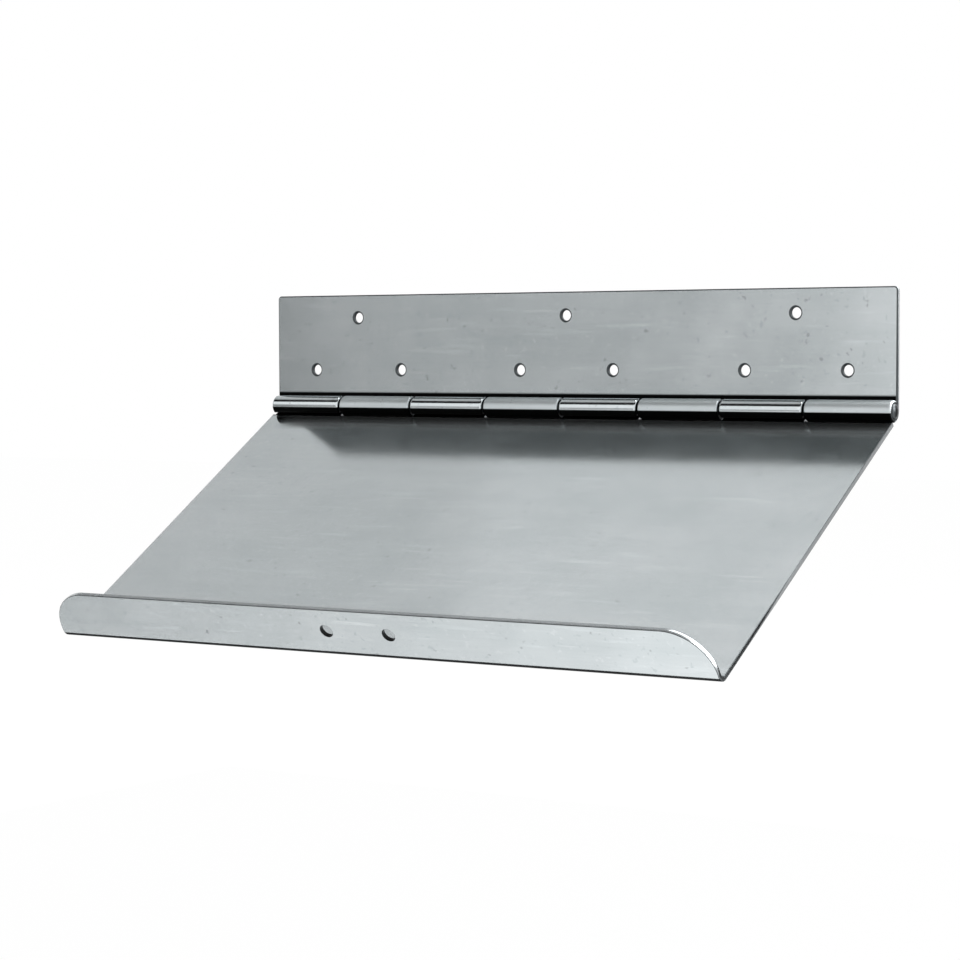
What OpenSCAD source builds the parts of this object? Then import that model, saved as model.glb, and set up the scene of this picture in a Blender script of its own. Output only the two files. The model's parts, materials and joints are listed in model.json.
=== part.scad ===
// Boat trim tab: a transom leaf and a tab plate of bent stainless sheet, joined by a hinge
// whose knuckles are rolled from the two sheets around one long pin.
// X runs along the hinge, Y = 0 is the leaf's back face against the transom, Z is up.
// Z = 0 is the lower row of screw holes.

/* [Sheet] */
// Width of both sheets along the hinge
width = 305; // [200:1:460]
// Thickness of the stainless sheet
sheet = 2.0; // [1.5:0.1:3]

/* [Transom leaf] */
// Pin axis to the leaf's top edge
leaf_rise = 49; // [46:0.5:80]
// Radius of the leaf's two upper corners
leaf_corner = 1.6; // [0.5:0.1:8]

/* [Screw holes] */
// Diameter of the screw holes in the leaf
screw_d = 4.4; // [4:0.1:6.5]
// Groups of three screw holes along the leaf
screw_groups = 3; // [1:1:3]
// Leaf's end to the nearest hole
end_margin = 21.5; // [10:0.5:30]
// Distance between the two lower holes of a group
pair_spread = 46; // [30:1:50]
// Pin axis to the lower row of holes
low_row = 16; // [13:0.5:18]
// Lower row to upper row
row_step = 23; // [15:0.5:24]
// Light countersink on both sides of the screw holes
screw_break = 0.8; // [0.1:0.05:0.9]

/* [Hinge] */
// Diameter of the hinge pin
pin_d = 4.76; // [4:0.01:6]
// Radial running clearance of the pin in the rolls
pin_play = 0.05; // [0.03:0.01:0.1]
// Number of knuckles, shared in turn by the plate and the leaf
knuckles = 8; // [4:2:12]
// Gap between neighbouring knuckles
knuckle_gap = 1.0; // [0.4:0.1:2]
// Slit left between a roll's free edge and its own sheet
roll_slit = 0.8; // [0.3:0.1:1.2]
// Clearance of each notch from the barrel that turns in it
notch_play = 0.4; // [0.2:0.1:1]
// How far the plate's outer knuckle stops short of the sheet's end
end_inset = 1.3; // [0:0.1:3]
// Chamfer on the end of each knuckle
knuckle_break = 0.5; // [0.2:0.1:0.9]
// How far the upset pin head stands out beyond the pin's radius
head_lip = 0.7; // [0.3:0.1:1.2]
// Thickness of the upset pin head
head_t = 0.9; // [0.5:0.1:1.5]
// End play of the pin head beside the plate's outer knuckle
head_play = 0.2; // [0.1:0.05:0.5]

/* [Tab plate] */
// Pin axis to the outer face of the trailing flange
chord = 168.5; // [120:0.5:260]
// Plate's slope below level, as pictured
tilt = 32; // [0:1:60]

/* [Trailing flange] */
// Height of the flange from the plate's underside
flange_h = 23; // [20:0.5:32]
// Inside radius of the bend
bend_r = 2.0; // [1:0.1:3]
// Radius of the flange's two upper corners
flange_corner = 18.5; // [6:0.5:24]
// Diameter of the two actuator holes
bracket_d = 5.6; // [5:0.1:8]
// Distance between the two actuator holes
bracket_spread = 29; // [20:0.5:60]
// Plate's underside to the actuator holes
bracket_up = 13; // [10:0.5:16]
// Deburred edge of the actuator holes
bracket_break = 0.25; // [0.1:0.05:0.6]

/* [Hidden] */
$fn = 64;
pin_r = pin_d / 2;
bore_r = pin_r + pin_play;
barrel_r = bore_r + sheet;
axis_y = -barrel_r;
axis_z = -low_row;
pitch = width / knuckles;
group_pitch = (width - 2 * end_margin - pair_spread) / max(screw_groups - 1, 1);
notch_edge = sqrt(pow(barrel_r + notch_play, 2) - pow(bore_r, 2));
turn_r = bend_r + sheet;
plate_end = chord - turn_r;
flange_round = min(flange_corner, flange_h - turn_r - sheet / 4);
head_r = pin_r + head_lip;
head_break = head_t / 2;
over = 1;

// Left and right end of knuckle i, counted from the left
function knuckle_x0(i) = -width / 2 + i * pitch + (i == 0 ? end_inset : knuckle_gap / 2);
function knuckle_x1(i) = -width / 2 + (i + 1) * pitch - (i == knuckles - 1 ? 0 : knuckle_gap / 2);

// Ring of one knuckle, turned about X, slit open on the upper side next to its sheet
module roll(len) {
    difference() {
        rotate([0, 90, 0])
            rotate_extrude()
                polygon([
                    [bore_r, -len / 2],
                    [barrel_r - knuckle_break, -len / 2],
                    [barrel_r, -len / 2 + knuckle_break],
                    [barrel_r, len / 2 - knuckle_break],
                    [barrel_r - knuckle_break, len / 2],
                    [bore_r, len / 2]
                ]);
        translate([-len, bore_r - roll_slit, 0])
            cube([2 * len, 2 * barrel_r, 2 * barrel_r]);
    }
}

// Rolls of every second knuckle, beginning with knuckle number first
module rolls(first) {
    for (i = [first : 2 : knuckles - 1])
        translate([(knuckle_x0(i) + knuckle_x1(i)) / 2, 0, 0])
            roll(knuckle_x1(i) - knuckle_x0(i));
}

// Tongues of sheet that lead into those rolls, in the flat
module tongues(first) {
    for (i = [first : 2 : knuckles - 1])
        translate([knuckle_x0(i), 0])
            square([knuckle_x1(i) - knuckle_x0(i), notch_edge + over]);
}

// Rectangle standing on base with its two upper corners rounded, in the flat
module round_top(base, top, r) {
    translate([-width / 2, base])
        square([width, top - r - base]);
    translate([r - width / 2, top - r])
        square([width - 2 * r, r]);
    for (s = [0, 1])
        mirror([s, 0])
            translate([width / 2 - r, top - r])
                intersection() {
                    circle(r = r);
                    square(2 * r);
                }
}

// Drill through one sheet thickness along Z with both rims broken
module drill(d, rim_break) {
    rim = min(rim_break, 0.42 * sheet);
    translate([0, 0, -over])
        cylinder(d = d, h = sheet + 2 * over);
    translate([0, 0, -rim])
        cylinder(d1 = d + 4 * rim, d2 = d, h = 2 * rim);
    translate([0, 0, sheet - rim])
        cylinder(d1 = d, d2 = d + 4 * rim, h = 2 * rim);
}

// Upright leaf, screwed to the transom, with its knuckles rolled forward
module transom_leaf() {
    color([0.72, 0.74, 0.75])
    translate([0, axis_y, axis_z]) {
        difference() {
            translate([0, barrel_r, 0])
                rotate([90, 0, 0])
                    linear_extrude(height = sheet)
                        union() {
                            round_top(notch_edge, leaf_rise, leaf_corner);
                            tongues(1);
                        }
            for (g = [0 : screw_groups - 1])
                translate([(g - (screw_groups - 1) / 2) * group_pitch, barrel_r, low_row])
                    rotate([90, 0, 0]) {
                        for (s = [-1, 1])
                            translate([s * pair_spread / 2, 0, 0])
                                drill(screw_d, screw_break);
                        translate([0, row_step, 0])
                            drill(screw_d, screw_break);
                    }
        }
        rolls(1);
    }
}

// Long pin through all the rolls, its two ends upset into small heads
module hinge_pin() {
    x0 = knuckle_x0(0) - head_play;
    x1 = width / 2;
    color([0.80, 0.80, 0.79])
    translate([0, axis_y, axis_z])
        rotate([0, 90, 0])
            rotate_extrude()
                polygon([
                    [0, x0 - head_t],
                    [head_r - head_break, x0 - head_t],
                    [head_r, x0 - head_break],
                    [head_r, x0],
                    [pin_r, x0],
                    [pin_r, x1],
                    [head_r, x1],
                    [head_r, x1 + head_break],
                    [head_r - head_break, x1 + head_t],
                    [0, x1 + head_t]
                ]);
}

// Quarter ring of sheet between the plate and the flange, along X
module bend() {
    rotate([90, 0, 90])
        linear_extrude(height = width, center = true)
            intersection() {
                difference() {
                    circle(r = turn_r);
                    circle(r = bend_r);
                }
                translate([-turn_r - over, 0])
                    square([turn_r + over, turn_r + over]);
            }
}

// Sloping plate with its knuckles rolled up over the pin and its trailing edge bent up
module tab_plate() {
    color([0.74, 0.76, 0.77])
    translate([0, axis_y, axis_z])
        rotate([90 + tilt, 0, 0]) {
            translate([0, -bore_r, 0])
                rotate([90, 0, 0])
                    linear_extrude(height = sheet)
                        union() {
                            translate([-width / 2, notch_edge])
                                square([width, plate_end - notch_edge]);
                            tongues(0);
                        }
            translate([0, turn_r - barrel_r, plate_end])
                bend();
            translate([0, -barrel_r, chord - sheet])
                difference() {
                    linear_extrude(height = sheet)
                        round_top(turn_r, flange_h, flange_round);
                    for (s = [-1, 1])
                        translate([s * bracket_spread / 2, bracket_up, 0])
                            drill(bracket_d, bracket_break);
                }
            mirror([0, 1, 0])
                rolls(0);
        }
}

transom_leaf();
hinge_pin();
tab_plate();
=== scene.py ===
import json
import math
import bmesh
import bpy
from mathutils import Matrix, Vector
from mathutils.geometry import delaunay_2d_cdt


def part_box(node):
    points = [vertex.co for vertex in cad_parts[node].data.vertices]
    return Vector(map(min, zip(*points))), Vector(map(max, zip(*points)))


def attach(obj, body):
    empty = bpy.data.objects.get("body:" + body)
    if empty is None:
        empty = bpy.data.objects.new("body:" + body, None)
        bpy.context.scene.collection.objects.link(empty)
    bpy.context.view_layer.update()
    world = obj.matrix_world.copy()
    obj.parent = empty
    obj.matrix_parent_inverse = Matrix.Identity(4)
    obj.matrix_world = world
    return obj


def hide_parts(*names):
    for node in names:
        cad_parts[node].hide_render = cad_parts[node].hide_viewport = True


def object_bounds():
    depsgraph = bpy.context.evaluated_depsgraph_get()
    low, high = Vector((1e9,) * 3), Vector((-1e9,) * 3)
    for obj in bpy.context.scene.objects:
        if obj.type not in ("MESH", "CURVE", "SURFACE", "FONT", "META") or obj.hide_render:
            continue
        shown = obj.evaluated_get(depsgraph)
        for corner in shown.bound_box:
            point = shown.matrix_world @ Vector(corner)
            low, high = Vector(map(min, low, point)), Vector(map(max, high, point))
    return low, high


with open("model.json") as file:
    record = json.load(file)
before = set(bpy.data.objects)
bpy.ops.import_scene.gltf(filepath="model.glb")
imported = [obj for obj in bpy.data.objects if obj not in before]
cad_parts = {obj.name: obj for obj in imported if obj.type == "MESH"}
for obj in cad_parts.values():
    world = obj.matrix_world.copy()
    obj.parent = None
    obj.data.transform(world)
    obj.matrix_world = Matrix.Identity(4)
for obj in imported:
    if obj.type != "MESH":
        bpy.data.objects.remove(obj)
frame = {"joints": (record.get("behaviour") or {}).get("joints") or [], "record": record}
cad_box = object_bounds()

# Transom leaf
# A strip of 2 mm stainless sheet, screwed flat to the transom. Its lower edge is notched into tongues, the
# tongues are rolled forward round the pin, and its nine screw holes are drilled and lightly countersunk.
MM = 0.001
SHEET = 2.0 * MM
LEAF_ROUND = 0.5 * MM
SCREW_ROUND = 0.8 * MM
KNUCKLE_ROUND = 0.7 * MM
EDGE_STEPS = 4
KNUCKLES = 8
KNUCKLE_GAP = 1.0 * MM
NOTCH_PLAY = 0.1 * MM
LEAF_CORNER = 1.6 * MM
LEAF_CORNER_STEPS = 8
ROLL_TURN = math.radians(288)
ROLL_STEP = math.radians(4)
HOLE_STEPS = 48
WELD = SHEET / 50
CUT_SNAP = SHEET / 500
POINT_SNAP = 1e-9
SHEARED, DRILLED, ROLLED = 0, 1, 2

mounts = {mount["name"]: mount for mount in frame["record"]["mounts"]}
pin_axis = Vector(frame["joints"][0]["pos_m"])
leaf_low, leaf_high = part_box("transom_leaf")
span = leaf_high.x - leaf_low.x
leaf_rise = leaf_high.z - pin_axis.z
barrel = -pin_axis.y
bore = barrel - SHEET
roll_mid = bore + SHEET / 2
notch_edge = math.sqrt((barrel + NOTCH_PLAY) ** 2 - bore ** 2)
pitch = span / KNUCKLES


def arc(centre, radius, start, stop, steps):
    """Points on a round stretch of an outline, angles in degrees."""
    turns = [math.radians(start + (stop - start) * i / steps) for i in range(steps + 1)]
    return [(centre[0] + radius * math.cos(a), centre[1] + radius * math.sin(a)) for a in turns]


def hole(centre, diameter):
    """Outline of a drilled hole, as a loop that doesn't repeat its first point."""
    return arc(centre, diameter / 2, 0, 360, HOLE_STEPS)[:-1]


def tongue_ends(i, end_inset):
    """Left and right end of the tongue that is rolled into knuckle i, counted from the left."""
    left = -span / 2 + i * pitch + KNUCKLE_GAP / 2
    right = -span / 2 + (i + 1) * pitch - (end_inset if i == KNUCKLES - 1 else KNUCKLE_GAP / 2)
    return left, right


def notched_edge(end_inset):
    """Lower edge of a blank from left to right: a notch, then a tongue, in turn."""
    points = [(-span / 2, notch_edge)]
    for i in range(1, KNUCKLES, 2):
        left, right = tongue_ends(i, end_inset)
        points += [(left, notch_edge), (left, 0), (right, 0)]
        if right < span / 2:
            points.append((right, notch_edge))
    if end_inset:
        points.append((span / 2, notch_edge))
    return points


def rectangle(left, right, bottom, top):
    return [(left, bottom), (right, bottom), (right, top), (left, top)]


def tongues(end_inset):
    """Flat tongues below the notched edge, as long as their rolls."""
    tip = -ROLL_TURN * roll_mid
    return [[rectangle(*tongue_ends(i, end_inset), tip, 0)] for i in range(1, KNUCKLES, 2)]


def cut_blank(name, panels, edge_round, hole_round, bends):
    """Flat sheet with rounded edges: X runs along the hinge, Y away from the pin, Z through the sheet from 0.
    panels are lists of loops, the first an outline and the rest its holes.
    bends are (start, stop, steps) along Y."""
    flat = bmesh.new()
    kind = flat.verts.layers.int.new("kind")
    for loops in panels:
        corners = [flat.verts.new((x, y, 0)) for loop in loops for x, y in loop]
        for k, corner in enumerate(corners):
            corner[kind] = DRILLED if k >= len(loops[0]) else (ROLLED if corner.co.y <= 0 else SHEARED)
        if len(corners) == 4:
            flat.faces.new(corners)
            continue
        owner = [k for k, loop in enumerate(loops) for _ in loop]
        first = [owner.index(k) for k in range(len(loops))] + [len(corners)]
        sides = []
        for start, stop in zip(first, first[1:]):
            sides += [(k, k + 1 if k + 1 < stop else start) for k in range(start, stop)]
        triangles = delaunay_2d_cdt([v.co.xy for v in corners], sides, [], 1, POINT_SNAP)[2]
        for triangle in triangles:
            loops_met = {owner[k] for k in triangle}
            if len(loops_met) > 1 or loops_met == {0}:
                flat.faces.new([corners[k] for k in triangle])
    bmesh.ops.remove_doubles(flat, verts=flat.verts, dist=WELD)
    for start, stop, steps in bends:
        for i in range(steps + 1):
            cut = (0, start + (stop - start) * i / steps, 0)
            bmesh.ops.bisect_plane(flat, geom=flat.verts[:] + flat.edges[:] + flat.faces[:],
                                   plane_co=cut, plane_no=(0, 1, 0), dist=CUT_SNAP)
    bmesh.ops.recalc_face_normals(flat, faces=flat.faces)
    if flat.faces[0].normal.z < 0:
        bmesh.ops.reverse_faces(flat, faces=flat.faces)
    flat.verts.index_update()

    rim_next = {}
    for edge in flat.edges:
        if len(edge.link_faces) == 1:
            loop = edge.link_loops[0]
            rim_next[loop.vert.index] = loop.link_loop_next.vert.index
    rim_back = {b: a for a, b in rim_next.items()}
    place = [v.co.xy for v in flat.verts]
    kinds = [v[kind] for v in flat.verts]
    rounding = [{SHEARED: edge_round, DRILLED: hole_round, ROLLED: KNUCKLE_ROUND}[k] for k in kinds]
    inward = {}
    for i in rim_next:
        before = (place[i] - place[rim_back[i]]).normalized()
        after = (place[rim_next[i]] - place[i]).normalized()
        both = before.orthogonal() + after.orthogonal()
        inward[i] = both / (1 + before.dot(after))

    quarter = [(1 - math.sin(a), 1 - math.cos(a))
               for a in (math.pi / 2 * k / EDGE_STEPS for k in range(EDGE_STEPS + 1))]
    rings = {}
    points = []
    for i, at in enumerate(place):
        inset_at = at + inward[i] * rounding[i] if i in inward else at
        points += [(*inset_at, 0), (*inset_at, SHEET)]
    for i in rim_next:
        middle = []
        profile = [(rounding[i] * inset, rounding[i] * depth) for inset, depth in quarter]
        profile += [(inset, SHEET - depth) for inset, depth in reversed(profile)]
        for inset, depth in profile[1:-1]:
            middle.append(len(points))
            points.append((*(place[i] + inward[i] * inset), depth))
        rings[i] = [2 * i, *middle, 2 * i + 1]
    faces = [[2 * v.index for v in face.verts] for face in flat.faces]
    faces += [[2 * v.index + 1 for v in reversed(face.verts)] for face in flat.faces]
    marks = {mark: [False] * len(faces) for mark in ("arris", "cut_wall", "drilled_wall")}
    for i, j in rim_next.items():
        a, b = rings[i], rings[j]
        faces += [[a[k], a[k + 1], b[k + 1], b[k]] for k in range(len(a) - 1)]
        for k in range(len(a) - 1):
            wall = k == EDGE_STEPS
            roll_end = kinds[i] == kinds[j] == ROLLED
            marks["arris"].append(roll_end and wall or not wall and not (roll_end and k > EDGE_STEPS))
            marks["cut_wall"].append(wall and not roll_end and kinds[i] != DRILLED)
            marks["drilled_wall"].append(wall and kinds[i] == DRILLED)
    flat.free()

    mesh = bpy.data.meshes.new(name)
    mesh.from_pydata(points, [], faces)
    mesh.shade_smooth()
    creases = {frozenset((2 * i + side, 2 * j + side)) for i, j in rim_next.items() for side in (0, 1)}
    sharp = mesh.attributes.new("sharp_edge", "BOOLEAN", "EDGE")
    sharp.data.foreach_set("value", [frozenset(edge.vertices) in creases for edge in mesh.edges])
    for mark, chosen in marks.items():
        mesh.attributes.new(mark, "BOOLEAN", "FACE").data.foreach_set("value", chosen)
    blank = bpy.data.objects.new(name, mesh)
    bpy.context.scene.collection.objects.link(blank)
    return blank


def add(tree, kind, links=None, **settings):
    """Adds a node to a tree, sets its properties, and links or sets the inputs that links names."""
    node = tree.nodes.new(kind)
    for key, value in settings.items():
        setattr(node, key, value)
    for key, value in (links or {}).items():
        if isinstance(value, bpy.types.NodeSocket):
            tree.links.new(value, node.inputs[key])
        else:
            node.inputs[key].default_value = value
    return node


# Rule of the press: what lies below the pin axis is rolled round the pin, what lies past Fold Start is
# folded up by a right angle, and the formed sheet is then turned and seated on the pin.
press = bpy.data.node_groups.new("Press a sheet", "GeometryNodeTree")
press.is_modifier = True
press_inputs = {}
for socket_name, kind in (("Blank", "NodeSocketGeometry"), ("Sheet", "NodeSocketFloat"),
                          ("Bore", "NodeSocketFloat"), ("Fold Start", "NodeSocketFloat"),
                          ("Fold Radius", "NodeSocketFloat"), ("Turn", "NodeSocketRotation"),
                          ("Seat", "NodeSocketVector"), ("Face Material", "NodeSocketMaterial"),
                          ("Arris Material", "NodeSocketMaterial"), ("Cut Material", "NodeSocketMaterial"),
                          ("Hole Material", "NodeSocketMaterial")):
    socket = press.interface.new_socket(socket_name, in_out="INPUT", socket_type=kind)
    press_inputs[socket_name] = socket.identifier
press.interface.new_socket("Formed", in_out="OUTPUT", socket_type="NodeSocketGeometry")
given = add(press, "NodeGroupInput").outputs
at = add(press, "ShaderNodeSeparateXYZ", {0: add(press, "GeometryNodeInputPosition").outputs[0]}).outputs
roll_radius = add(press, "ShaderNodeMath", {0: given["Sheet"], 1: 0.5, 2: given["Bore"]},
                  operation="MULTIPLY_ADD").outputs[0]
fold_radius = add(press, "ShaderNodeMath", {0: given["Sheet"], 1: 0.5, 2: given["Fold Radius"]},
                  operation="MULTIPLY_ADD").outputs[0]
below = add(press, "ShaderNodeMath", {0: at[1], 1: 0.0}, operation="MINIMUM").outputs[0]
above = add(press, "ShaderNodeMath", {0: at[1], 1: 0.0}, operation="MAXIMUM").outputs[0]
straight = add(press, "ShaderNodeMath", {0: above, 1: given["Fold Start"]}, operation="MINIMUM").outputs[0]
past = add(press, "ShaderNodeMath", {0: above, 1: straight}, operation="SUBTRACT").outputs[0]
roll_angle = add(press, "ShaderNodeMath", {0: below, 1: roll_radius}, operation="DIVIDE").outputs[0]
full_angle = add(press, "ShaderNodeMath", {0: past, 1: fold_radius}, operation="DIVIDE").outputs[0]
fold_angle = add(press, "ShaderNodeMath", {0: full_angle, 1: math.pi / 2}, operation="MINIMUM").outputs[0]
folded = add(press, "ShaderNodeMath", {0: fold_angle, 1: fold_radius}, operation="MULTIPLY").outputs[0]
flange = add(press, "ShaderNodeMath", {0: past, 1: folded}, operation="SUBTRACT").outputs[0]
fold_sine = add(press, "ShaderNodeMath", {0: fold_angle}, operation="SINE").outputs[0]
fold_cosine = add(press, "ShaderNodeMath", {0: fold_angle}, operation="COSINE").outputs[0]
roll_sine = add(press, "ShaderNodeMath", {0: roll_angle}, operation="SINE").outputs[0]
roll_cosine = add(press, "ShaderNodeMath", {0: roll_angle}, operation="COSINE").outputs[0]
fold_reach = add(press, "ShaderNodeMath", {0: given["Fold Radius"], 1: at[2]}, operation="ADD").outputs[0]
pin_reach = add(press, "ShaderNodeMath", {0: given["Bore"], 1: at[2]}, operation="ADD").outputs[0]
fold_centre = add(press, "ShaderNodeMath", {0: given["Bore"], 1: given["Fold Radius"]},
                  operation="SUBTRACT").outputs[0]
out_of_fold = add(press, "ShaderNodeMath", {0: fold_reach, 1: fold_cosine, 2: fold_centre},
                  operation="MULTIPLY_ADD").outputs[0]
flange_lift = add(press, "ShaderNodeMath", {0: flange, 1: fold_sine}, operation="MULTIPLY").outputs[0]
outward = add(press, "ShaderNodeMath", {0: out_of_fold, 1: flange_lift}, operation="SUBTRACT").outputs[0]
outward_rolled = add(press, "ShaderNodeMath", {0: outward, 1: roll_cosine}, operation="MULTIPLY").outputs[0]
along_fold = add(press, "ShaderNodeMath", {0: fold_reach, 1: fold_sine, 2: straight},
                 operation="MULTIPLY_ADD").outputs[0]
along = add(press, "ShaderNodeMath", {0: pin_reach, 1: roll_sine, 2: along_fold},
            operation="MULTIPLY_ADD").outputs[0]
formed_at = add(press, "ShaderNodeCombineXYZ", {0: at[0], 1: outward_rolled, 2: along}).outputs[0]
formed = add(press, "GeometryNodeSetPosition", {"Geometry": given["Blank"],
                                                "Position": formed_at}).outputs[0]
seated = add(press, "GeometryNodeTransform", {"Geometry": formed, "Rotation": given["Turn"],
                                              "Translation": given["Seat"]}).outputs[0]
whole = add(press, "GeometryNodeRealizeInstances", {"Geometry": seated}).outputs[0]
faced = add(press, "GeometryNodeSetMaterial", {"Geometry": whole,
                                               "Material": given["Face Material"]}).outputs[0]
for mark, socket_name in (("arris", "Arris Material"), ("cut_wall", "Cut Material"),
                          ("drilled_wall", "Hole Material")):
    marked = add(press, "GeometryNodeInputNamedAttribute", {"Name": mark}, data_type="BOOLEAN").outputs[0]
    faced = add(press, "GeometryNodeSetMaterial", {"Geometry": faced, "Selection": marked,
                                                   "Material": given[socket_name]}).outputs[0]
add(press, "NodeGroupOutput", {0: faced})


def press_sheet(blank, settings):
    """Runs the press on a blank and leaves the formed sheet as a plain mesh with its faces outwards."""
    modifier = blank.modifiers.new("press", "NODES")
    modifier.node_group = press
    for socket_name, value in settings.items():
        modifier[press_inputs[socket_name]] = value
    depsgraph = bpy.context.evaluated_depsgraph_get()
    mesh = bpy.data.meshes.new_from_object(blank.evaluated_get(depsgraph))
    blank.modifiers.remove(modifier)
    work = bmesh.new()
    work.from_mesh(mesh)
    bmesh.ops.recalc_face_normals(work, faces=work.faces)
    work.to_mesh(mesh)
    work.free()
    mesh.name = blank.name
    blank.data = mesh
    return blank


def linear(code):
    """Linear colour of an sRGB hex value."""
    parts = [int(code[k:k + 2], 16) / 255 for k in (1, 3, 5)]
    return (*[c / 12.92 if c <= 0.04045 else ((c + 0.055) / 1.055) ** 2.4 for c in parts], 1.0)


# Widths of the steel's marks. Real rolling grain and scratches are a few hundredths of a millimetre wide, too
# fine to show, so both are drawn coarser.
GRAIN = 0.8 * MM
STREAK = 9.0 * MM
CLOUD = 45.0 * MM
SCRATCH = 1.1 * MM
FLECK = 2.4 * MM
SCUFF = 3.2 * MM
PIT = 3.6 * MM
GRAIN_DEPTH = 0.02 * MM
# Reach of the painted shade in the hinge's creases
CREASE_SHADE_BELOW = 0.9 * MM
CREASE_SHADE_ABOVE = 2.6 * MM
CREASE_SHADE_FADE = 0.7
# Reach of the grey painted shade band on the plate beside the hinge
HINGE_SHADE_FULL = 8.0 * MM
HINGE_SHADE_END = 11.5 * MM


# Cold rolled stainless steel with a dull mill finish: cool grey metal that mirrors softly, with a faint grain
# along the rolling direction, cloudy handling marks, scratches, scuffs, flecks and shallow pits. Painted shade
# darkens the hinge's creases to near black, and a grey painted shade band dulls the plate's upper face beside
# them.
def mill_stainless(name, dark, light, roughness, roll_roughness, shade_creases=False, hinge_shade_up=None):
    material = bpy.data.materials.new(name)
    material.use_nodes = True
    tree = material.node_tree
    tree.nodes.clear()
    where = add(tree, "ShaderNodeTexCoord").outputs["Object"]
    from_pin = add(tree, "ShaderNodeVectorMath", {0: where, 1: pin_axis}, operation="SUBTRACT").outputs[0]
    across = add(tree, "ShaderNodeVectorMath", {0: from_pin, 1: (0, 1, 1)}, operation="MULTIPLY").outputs[0]
    reach = add(tree, "ShaderNodeVectorMath", {0: across}, operation="LENGTH").outputs["Value"]
    side = add(tree, "ShaderNodeSeparateXYZ", {0: from_pin}).outputs

    lengthways = add(tree, "ShaderNodeMapping", {"Vector": where, "Scale": (0.05, 1.0, 1.0)}).outputs[0]
    rubbed = add(tree, "ShaderNodeMapping", {"Vector": where, "Scale": (0.09, 1.0, 1.0)}).outputs[0]
    aslant = add(tree, "ShaderNodeMapping", {"Vector": where, "Rotation": (0, 0, math.radians(25)),
                                             "Scale": (0.03, 1.0, 0.3)}).outputs[0]
    cloud = add(tree, "ShaderNodeTexNoise", {"Vector": where, "Scale": 1 / CLOUD, "Detail": 5.0,
                                             "Roughness": 0.6}).outputs[0]
    marks = {}
    for mark, run, width, detail in (("grain", lengthways, GRAIN, 3.0), ("streak", lengthways, STREAK, 3.0),
                                     ("scratch", aslant, SCRATCH, 1.0), ("fleck", where, FLECK, 2.0),
                                     ("scuff", rubbed, SCUFF, 2.0), ("pit", where, PIT, 2.0)):
        marks[mark] = add(tree, "ShaderNodeTexNoise", {"Vector": run, "Scale": 1 / width,
                                                       "Detail": detail}).outputs[0]
    for mark, noise, none, full in (("scratch", "scratch", 0.70, 0.76), ("pale_fleck", "fleck", 0.64, 0.74),
                                    ("dark_fleck", "fleck", 0.35, 0.27), ("scuff", "scuff", 0.60, 0.80),
                                    ("pit", "pit", 0.31, 0.24)):
        marks[mark] = add(tree, "ShaderNodeMapRange", {"Value": marks[noise], "From Min": none,
                                                       "From Max": full}).outputs[0]
    tone = cloud
    for mark, weight in (("streak", 0.5), ("grain", 0.25)):
        tone = add(tree, "ShaderNodeMath", {0: marks[mark], 1: weight, 2: tone},
                   operation="MULTIPLY_ADD").outputs[0]
    tone = add(tree, "ShaderNodeMapRange", {"Value": tone, "From Min": 0.6, "From Max": 1.15}).outputs[0]
    for mark, weight in (("scratch", 0.6), ("pale_fleck", 0.8), ("dark_fleck", -0.9)):
        tone = add(tree, "ShaderNodeMath", {0: marks[mark], 1: weight, 2: tone},
                   operation="MULTIPLY_ADD").outputs[0]
    wear = 1.0
    for mark, weight in (("scuff", 0.12), ("pit", -0.22)):
        wear = add(tree, "ShaderNodeMath", {0: marks[mark], 1: weight, 2: wear},
                   operation="MULTIPLY_ADD").outputs[0]
    colour = add(tree, "ShaderNodeMix", {0: tone, 6: linear(dark), 7: linear(light)},
                 data_type="RGBA").outputs[2]
    colour = add(tree, "ShaderNodeVectorMath", {0: colour, "Scale": wear}, operation="SCALE").outputs[0]
    rolled = add(tree, "ShaderNodeMapRange", {"Value": reach, "From Min": barrel + 0.3 * MM,
                                              "From Max": barrel + 0.1 * MM}).outputs[0]
    rough = add(tree, "ShaderNodeMapRange", {"Value": rolled, "To Min": roughness,
                                             "To Max": roll_roughness}).outputs[0]
    rough = add(tree, "ShaderNodeMath", {0: cloud, 1: 0.10, 2: rough}, operation="MULTIPLY_ADD").outputs[0]
    metal = 1.0

    # Painted shade: a grey, less metallic and rougher band darkens the flat beside the rolls, on the upper
    # face only, and fades out at the plate's left end
    if hinge_shade_up is not None:
        lift = add(tree, "ShaderNodeVectorMath", {0: from_pin, 1: hinge_shade_up},
                   operation="DOT_PRODUCT").outputs["Value"]
        hinge_shade = add(tree, "ShaderNodeMath", {0: 1.0, 1: rolled}, operation="SUBTRACT").outputs[0]
        for measure, unshaded_at, hinge_shaded_at in ((reach, barrel + HINGE_SHADE_END, barrel + HINGE_SHADE_FULL),
                                             (lift, -bore - 0.6 * MM, -bore - 0.3 * MM),
                                             (side[0], 6.0 * MM - span / 2, 18.0 * MM - span / 2)):
            limit = add(tree, "ShaderNodeMapRange", {"Value": measure, "From Min": unshaded_at,
                                                     "From Max": hinge_shaded_at}).outputs[0]
            hinge_shade = add(tree, "ShaderNodeMath", {0: hinge_shade, 1: limit}, operation="MULTIPLY").outputs[0]
        rough = add(tree, "ShaderNodeMath", {0: hinge_shade, 1: 0.10, 2: rough}, operation="MULTIPLY_ADD").outputs[0]
        metal = add(tree, "ShaderNodeMath", {0: hinge_shade, 1: -0.07, 2: 1.0}, operation="MULTIPLY_ADD").outputs[0]
        colour = add(tree, "ShaderNodeMix", {0: hinge_shade, 6: colour, 7: linear("#8c9091")},
                     data_type="RGBA").outputs[2]
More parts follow.
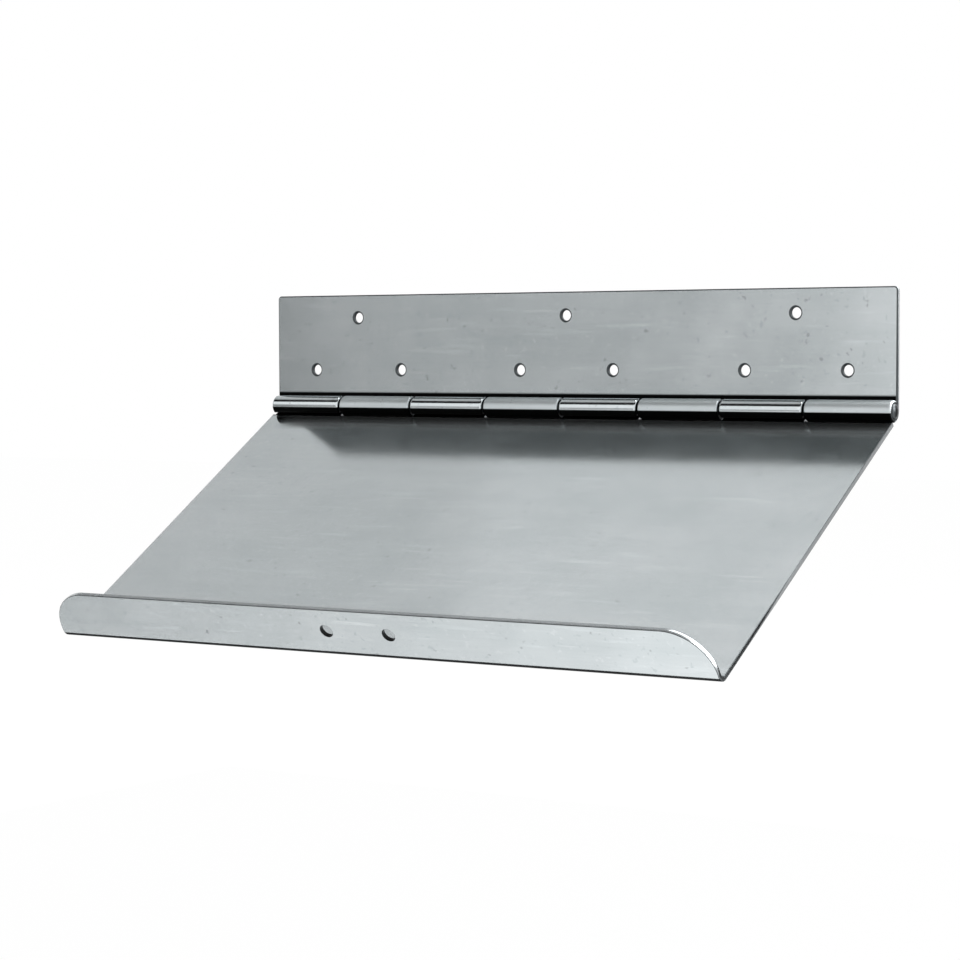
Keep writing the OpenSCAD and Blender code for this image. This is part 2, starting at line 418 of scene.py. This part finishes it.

    # Painted shade: near black fills two creases, under the front of the rolls, and behind them where they
    # meet the leaf
    if shade_creases:
        corners = []
        for limits in (((reach, barrel + CREASE_SHADE_BELOW, barrel + CREASE_SHADE_FADE * CREASE_SHADE_BELOW),
                        (side[2], -0.35 * MM, -0.7 * MM), (side[1], 0.8 * MM, 0.0)),
                       ((reach, barrel + CREASE_SHADE_ABOVE, barrel + CREASE_SHADE_FADE * CREASE_SHADE_ABOVE),
                        (side[2], 3.8 * MM, 4.3 * MM), (side[1], 0.8 * MM, 1.6 * MM))):
            depth = 1.0
            for measure, unshaded_at, crease_shaded_at in limits:
                limit = add(tree, "ShaderNodeMapRange", {"Value": measure, "From Min": unshaded_at,
                                                         "From Max": crease_shaded_at}).outputs[0]
                depth = add(tree, "ShaderNodeMath", {0: limit, 1: depth}, operation="MULTIPLY").outputs[0]
            corners.append(depth)
        crease_shade = add(tree, "ShaderNodeMath", {0: corners[0], 1: corners[1]}, operation="MAXIMUM").outputs[0]
        rough = add(tree, "ShaderNodeMath", {0: crease_shade, 1: 0.3, 2: rough},
                    operation="MULTIPLY_ADD").outputs[0]
        colour = add(tree, "ShaderNodeMix", {0: crease_shade, 6: colour, 7: linear("#0a0b0b")},
                     data_type="RGBA").outputs[2]

    bump = add(tree, "ShaderNodeBump", {"Height": marks["grain"], "Strength": 0.05,
                                        "Distance": GRAIN_DEPTH}).outputs[0]
    shader = add(tree, "ShaderNodeBsdfPrincipled", {"Base Color": colour, "Metallic": metal,
                                                    "Roughness": rough, "Normal": bump}).outputs[0]
    add(tree, "ShaderNodeOutputMaterial", {"Surface": shader})
    return material


# The leaf's faces as they left the mill: a pale satin where flat, duller where the press rolled them.
# Painted shade darkens its creases beside the rolls to near black.
leaf_steel = mill_stainless("Mill finish stainless leaf", "#cfd7d9", "#dfe5e7", 0.15, 0.42, shade_creases=True)
# The plate's edges as the shear left them: a smooth strip that catches the lamp.
sheared_steel = mill_stainless("Sheared stainless edge", "#a8adaf", "#b8bdbf", 0.14, 0.14)
# Corners of the edges, broken with a file and dull, painted dark as shade: a thin dark line round each sheet.
arris_painted_shade = mill_stainless("Stainless arris, painted dark as shade", "#4a4e50", "#585c5e", 0.40, 0.40)
# The leaf's edges, dressed on a grinder: pale and matt.
leaf_cut = mill_stainless("Ground stainless edge", "#b4b9bb", "#c2c7c9", 0.40, 0.40)
# Walls of the drilled holes, rough from the drill and painted nearly black as shade.
drilled_painted_shade = mill_stainless("Drilled stainless, painted dark as shade", "#0c0d0d", "#121313", 0.45, 0.45)

pair = mounts["screws_lower_middle"]["dims"]["spacing_x_mm"] * MM
screw = 2 * mounts["screws_lower_middle"]["dims"]["hole_r_mm"] * MM
low_row = mounts["screws_lower_middle"]["pos_m"][2] - pin_axis.z
high_row = mounts["screws_upper"]["pos_m"][2] - pin_axis.z
groups = [mounts["screws_lower_" + side]["pos_m"][0] for side in ("left", "middle", "right")]
leaf_holes = [hole((x + side * pair / 2, low_row), screw) for x in groups for side in (-1, 1)]
leaf_holes += [hole((x, high_row), screw) for x in groups]
corner_x = span / 2 - LEAF_CORNER
corner_y = leaf_rise - LEAF_CORNER
leaf_outline = notched_edge(0) + arc((corner_x, corner_y), LEAF_CORNER, 0, 90, LEAF_CORNER_STEPS)
leaf_outline += arc((-corner_x, corner_y), LEAF_CORNER, 90, 180, LEAF_CORNER_STEPS)
roll_bend = (-ROLL_TURN * roll_mid, 0, round(ROLL_TURN / ROLL_STEP))
leaf = cut_blank("leaf_sheet", [[leaf_outline, *leaf_holes], *tongues(0)], LEAF_ROUND, SCREW_ROUND,
                 [roll_bend])
press_sheet(leaf, {"Sheet": SHEET, "Bore": bore, "Fold Start": 2 * leaf_rise, "Fold Radius": SHEET,
                   "Seat": pin_axis, "Face Material": leaf_steel, "Arris Material": arris_painted_shade,
                   "Cut Material": leaf_cut, "Hole Material": drilled_painted_shade})
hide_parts("transom_leaf")
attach(leaf, "leaf")

# Hinge pin
# One straight length of drawn stainless bar through all the rolls. Its two ends are upset into low domed
# heads, so that it can't work its way out.
HEAD_RISE = 0.9 * MM
HEAD_PLAY = 0.2 * MM
PIN_PLAY = 0.05 * MM
LATHE_STEPS = 48
HEAD_STEPS = 6
HEAD_CREASE = math.radians(40)

pin_low, pin_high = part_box("hinge_pin")
head_radius = (pin_high.z - pin_low.z) / 2
pin_radius = bore - PIN_PLAY
head_left = pin_low.x + HEAD_RISE
head_right = pin_high.x - HEAD_RISE
dome = [(math.cos(a), math.sin(a)) for a in (math.pi / 2 * k / HEAD_STEPS for k in range(HEAD_STEPS))]
rings = [(head_radius * c, head_left - HEAD_RISE * s) for c, s in reversed(dome)]
rings += [(pin_radius, head_left), (pin_radius, head_right)]
rings += [(head_radius * c, head_right + HEAD_RISE * s) for c, s in dome]
turns = [2 * math.pi * k / LATHE_STEPS for k in range(LATHE_STEPS)]
pin_points = [(x, pin_axis.y + radius * math.sin(turn), pin_axis.z + radius * math.cos(turn))
              for radius, x in rings for turn in turns]
left_tip = len(pin_points)
right_tip = left_tip + 1
pin_points += [(pin_low.x, pin_axis.y, pin_axis.z), (pin_high.x, pin_axis.y, pin_axis.z)]
last_ring = left_tip - LATHE_STEPS
pin_faces = []
for k in range(LATHE_STEPS):
    beside = (k + 1) % LATHE_STEPS
    pin_faces.append((left_tip, k, beside))
    for ring in range(0, last_ring, LATHE_STEPS):
        onward = ring + LATHE_STEPS
        pin_faces.append((ring + k, onward + k, onward + beside, ring + beside))
    pin_faces.append((right_tip, last_ring + beside, last_ring + k))

# Drawn bar, upset cold at its ends: painted a darker grey than the sheets as shade, with a soft shine.
drawn_steel_painted_shade = mill_stainless("Drawn stainless bar, painted dark as shade", "#4c5052", "#5a5e60", 0.25, 0.25)
pin_mesh = bpy.data.meshes.new("pin_bar")
pin_mesh.from_pydata(pin_points, [], pin_faces)
pin_mesh.shade_smooth()
pin_mesh.set_sharp_from_angle(angle=HEAD_CREASE)
pin_mesh.materials.append(drawn_steel_painted_shade)
pin = bpy.data.objects.new("pin_bar", pin_mesh)
bpy.context.scene.collection.objects.link(pin)
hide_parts("hinge_pin")
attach(pin, "leaf")

# Tab plate
# The same sheet, turned end for end on the pin so that its tongues fall between the leaf's. Its trailing
# edge is folded up square into a flange with rounded corners, drilled for the actuator's bracket.
FLANGE_HEIGHT = 23.0 * MM
FLANGE_CORNER = 18.5 * MM
PLATE_ROUND = 0.2 * MM
BRACKET_ROUND = 0.12 * MM
FOLD_RADIUS = 2.0 * MM
FOLD_STEPS = 18
CORNER_STEPS = 24

bracket = mounts["actuator_holes"]
aft = Vector(bracket["axis"])
tilt = math.atan2(-aft.z, -aft.y)
bracket_from_pin = Vector(bracket["pos_m"]) - pin_axis
plate_up = Vector((0, -math.sin(tilt), math.cos(tilt)))
chord = bracket_from_pin.dot(aft) + SHEET / 2
bracket_up = bracket_from_pin.dot(plate_up) + barrel
fold_start = chord - FOLD_RADIUS - SHEET
fold_length = math.pi / 2 * (FOLD_RADIUS + SHEET / 2)
flange_foot = fold_start + fold_length


def on_flange(height):
    """Place on the blank of a height above the plate's underside, on the flange."""
    return flange_foot + height - FOLD_RADIUS - SHEET


bracket_gap = bracket["dims"]["pcd_mm"] * MM
bracket_hole = 2 * bracket["dims"]["hole_r_mm"] * MM
corner_x = span / 2 - FLANGE_CORNER
corner_y = on_flange(FLANGE_HEIGHT - FLANGE_CORNER)
flange_outline = [(-span / 2, flange_foot), (span / 2, flange_foot)]
flange_outline += arc((corner_x, corner_y), FLANGE_CORNER, 0, 90, CORNER_STEPS)
flange_outline += arc((-corner_x, corner_y), FLANGE_CORNER, 90, 180, CORNER_STEPS)
bracket_holes = [hole((side * bracket_gap / 2, on_flange(bracket_up)), bracket_hole) for side in (-1, 1)]
end_inset = pin_low.x + HEAD_RISE + HEAD_PLAY + span / 2
plate_panel = notched_edge(end_inset) + [(span / 2, fold_start), (-span / 2, fold_start)]
fold_panel = rectangle(-span / 2, span / 2, fold_start, flange_foot)
plate = cut_blank("plate_sheet", [[plate_panel], [fold_panel], [flange_outline, *bracket_holes],
                                  *tongues(end_inset)], PLATE_ROUND, BRACKET_ROUND,
                  [roll_bend, (fold_start, flange_foot, FOLD_STEPS)])
# The plate's faces, of the same mill finish but smoother: they mirror the leaf and the hinge.
# Painted shade darkens its creases by the rolls, and a grey band of painted shade darkens its upper face
# beside them.
plate_steel = mill_stainless("Mill finish stainless plate", "#cfd7d9", "#dfe5e7", 0.07, 0.08, shade_creases=True,
                             hinge_shade_up=plate_up)
press_sheet(plate, {"Sheet": SHEET, "Bore": bore, "Fold Start": fold_start, "Fold Radius": FOLD_RADIUS,
                    "Turn": (-math.pi / 2 - tilt, 0, math.pi), "Seat": pin_axis,
                    "Face Material": plate_steel, "Arris Material": arris_painted_shade,
                    "Cut Material": sheared_steel, "Hole Material": drilled_painted_shade})
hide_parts("tab_plate")
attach(plate, "tab")

# Floor and studio light
# A plain pale floor in a white tent, which is white to the eye and in the steel. One soft lamp stands behind
# the tab on its right. Flags, cards and silks that only the steel sees give it its darker and softer tones.
FLOOR_DROP = 250.0 * MM
FLOOR_SIZE = 12.0
FLOOR_GLOW = 0.85
LOW_SILKS = 6
LOW_SILK_RIGHT = -43.0 * MM
LOW_SILK_STEP = 55.0 * MM
LOW_SILK_LIFT = 6.0 * MM
SOFTBOX_AT = (0.72, 0.55, 1.03)


def card(name, corners, material):
    """A flat card or floor of the studio, which isn't part of the object."""
    mesh = bpy.data.meshes.new(name)
    mesh.from_pydata(corners, [], [range(len(corners))])
    mesh.materials.append(material)
    piece = bpy.data.objects.new(name, mesh)
    bpy.context.scene.collection.objects.link(piece)
    return piece


def level_card(name, left, right, front, back, z, material):
    """A card that lies level, given by its sides."""
    return card(name, [(left, front, z), (right, front, z), (right, back, z), (left, back, z)], material)


def side_card(name, x, front, back, bottom, top, material):
    """A card that stands across X, given by its sides."""
    return card(name, [(x, front, bottom), (x, back, bottom), (x, back, top), (x, front, top)], material)


# Matt white paint: almost as white as the tent to the eye and in the steel. It keeps the tab's soft shadow.
pale = bpy.data.materials.new("Pale floor paint")
pale.use_nodes = True
tree = pale.node_tree
tree.nodes.clear()
paint = add(tree, "ShaderNodeBsdfDiffuse", {"Color": linear("#fafafa")}).outputs[0]
glow = add(tree, "ShaderNodeEmission", {"Color": linear("#ffffff"), "Strength": 1.0}).outputs[0]
ray = add(tree, "ShaderNodeLightPath").outputs
seen = ray["Is Camera Ray"]
for other in ("Is Glossy Ray", "Is Transmission Ray"):
    seen = add(tree, "ShaderNodeMath", {0: seen, 1: ray[other]}, operation="ADD").outputs[0]
share = add(tree, "ShaderNodeMath", {0: seen, 1: FLOOR_GLOW}, operation="MULTIPLY", use_clamp=True).outputs[0]
surface = add(tree, "ShaderNodeMixShader", {0: share, 1: paint, 2: glow}).outputs[0]
add(tree, "ShaderNodeOutputMaterial", {"Surface": surface})
floor_z = cad_box[0][2] - FLOOR_DROP
half = FLOOR_SIZE / 2
level_card("floor", -half, half, -half, half, floor_z, pale)

# Cloth, card and silk of the studio: a flag is nearly black, a card is grey, and a silk lets light through.
flag_cloth = bpy.data.materials.new("Dark flag cloth")
grey_card = bpy.data.materials.new("Grey card")
mid_card = bpy.data.materials.new("Middle grey card")
silk = bpy.data.materials.new("Diffusion silk")
thin_silk = bpy.data.materials.new("Thin diffusion silk")
for fabric, colour, open_share in ((flag_cloth, "#282828", 0.0), (grey_card, "#787878", 0.0),
                                   (mid_card, "#a6a6a6", 0.0), (silk, "#acacac", 0.53),
                                   (thin_silk, "#9b9b9b", 0.87)):
    fabric.use_nodes = True
    tree = fabric.node_tree
    tree.nodes.clear()
    solid = add(tree, "ShaderNodeBsdfDiffuse", {"Color": linear(colour)}).outputs[0]
    clear = add(tree, "ShaderNodeBsdfTransparent").outputs[0]
    weave = add(tree, "ShaderNodeMixShader", {0: open_share, 1: solid, 2: clear}).outputs[0]
    add(tree, "ShaderNodeOutputMaterial", {"Surface": weave})

# Sides of the flags, cards and silks in metres
flags = [level_card("flag_above", -1.2, 0.5, -0.55, -0.185, 0.5, flag_cloth),
         level_card("card_above", -1.2, 0.5, -0.185, 0.0, 0.5, mid_card),
         level_card("flag_below", -0.9, 0.3, -0.13, 0.9, floor_z + 0.02, flag_cloth),
         side_card("flag_right", 0.6, 0.45, 3.0, floor_z, 0.35, flag_cloth),
         side_card("card_far_left", -1.2, -2.9, -1.4, floor_z, 0.26, mid_card),
         side_card("card_left", -1.2, -1.4, -0.9, floor_z, 0.26, grey_card),
         side_card("card_side_left", -1.25, -0.70, 0.50, floor_z, 0.36, mid_card),
         side_card("card_side_right", 1.25, -0.70, 0.35, floor_z, 0.36, mid_card),
         level_card("card_under", -0.8, 1.0, -0.66, -0.335, floor_z + 0.003, mid_card),
         level_card("silk_above", -1.7, -0.25, 0.05, 1.2, 1.0, silk),
         level_card("silk_back", -1.7, -0.25, 0.34, 1.2, 0.99, thin_silk),
         level_card("silk_left", -1.7, -0.75, 0.05, 1.2, 0.98, silk),
         level_card("silk_far_left", -1.7, -1.0, 0.05, 0.3, 0.97, thin_silk)]
for k in range(LOW_SILKS):
    flags.append(level_card("silk_low", -0.8, LOW_SILK_RIGHT - LOW_SILK_STEP * k, -0.6, -0.14,
                            floor_z + LOW_SILK_LIFT * (k + 1), thin_silk))
for flag in flags:
    flag.visible_camera = False
    flag.visible_diffuse = False

tent = bpy.data.worlds.new("White tent")
bpy.context.scene.world = tent
tent.use_nodes = True
tree = tent.node_tree
tree.nodes.clear()
sky = add(tree, "ShaderNodeBackground", {"Color": linear("#ffffff"), "Strength": 1.0}).outputs[0]
add(tree, "ShaderNodeOutputWorld", {"Surface": sky})

softbox = bpy.data.lights.new("softbox", "AREA")
softbox.shape = "RECTANGLE"
softbox.size = 1.15
softbox.size_y = 2.95
softbox.energy = 53.0
lamp = bpy.data.objects.new("softbox", softbox)
lamp_turn = Vector(SOFTBOX_AT).to_track_quat("Z", "Y").to_matrix().to_4x4()
lamp.matrix_world = Matrix.Translation(SOFTBOX_AT) @ lamp_turn
bpy.context.scene.collection.objects.link(lamp)
bpy.context.scene.view_settings.view_transform = "Standard"

# Camera
# Stands to the right and in front of the tab, a little above it, with the long lens that the photograph's
# perspective gives.
CAMERA_AT = (613.1 * MM, -990.4 * MM, 9.4 * MM)
CAMERA_TURN = math.radians(33.60)
CAMERA_DROP = math.radians(2.74)
CAMERA_ROLL = math.radians(-0.22)
FOCAL_PIXELS = 2757.4
IMAGE_PIXELS = 960

lens = bpy.data.cameras.new("camera")
lens.sensor_width = 36
lens.lens = FOCAL_PIXELS / IMAGE_PIXELS * lens.sensor_width
camera = bpy.data.objects.new("camera", lens)
camera.matrix_world = (Matrix.Translation(CAMERA_AT) @ Matrix.Rotation(CAMERA_TURN, 4, "Z")
                       @ Matrix.Rotation(math.pi / 2 - CAMERA_DROP, 4, "X")
                       @ Matrix.Rotation(CAMERA_ROLL, 4, "Z"))
bpy.context.scene.collection.objects.link(camera)
bpy.context.scene.camera = camera
